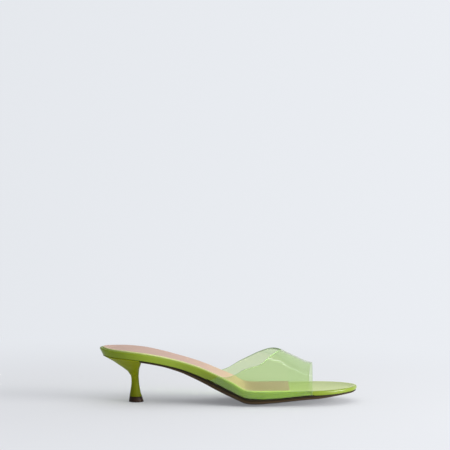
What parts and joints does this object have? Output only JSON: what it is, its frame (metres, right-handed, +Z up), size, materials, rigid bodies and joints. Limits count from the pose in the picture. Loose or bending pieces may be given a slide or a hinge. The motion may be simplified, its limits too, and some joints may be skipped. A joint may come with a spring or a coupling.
{
  "type": "kitten heel mule sandal",
  "caption": "Backless kitten heel sandal with a clear band upper, wrapped footbed, sock lining, thin outsole and flared heel.",
  "frame": {"origin": "centre of the box on the floor that the sandal stands on", "axes": "+X to the toe, +Z up, -Y to the outer side of the right foot"},
  "size_m": [0.244, 0.079, 0.053],
  "materials": {
    "wrap": "smooth satin coated leather with a very fine grain",
    "sock": "matte nude lining leather",
    "clear_band": "clear green tinted sheet, glossy",
    "outsole": "dark brown, semi-matte, lighter worn lower edge",
    "top_piece": "dense dark brown, semi-matte"
  },
  "bodies": {
    "root": {"footbed": "wrap", "sock": "sock", "upper": "clear_band", "outsole": "outsole", "heel": "wrap", "top_piece": "top_piece"}
  },
  "joints": []
}
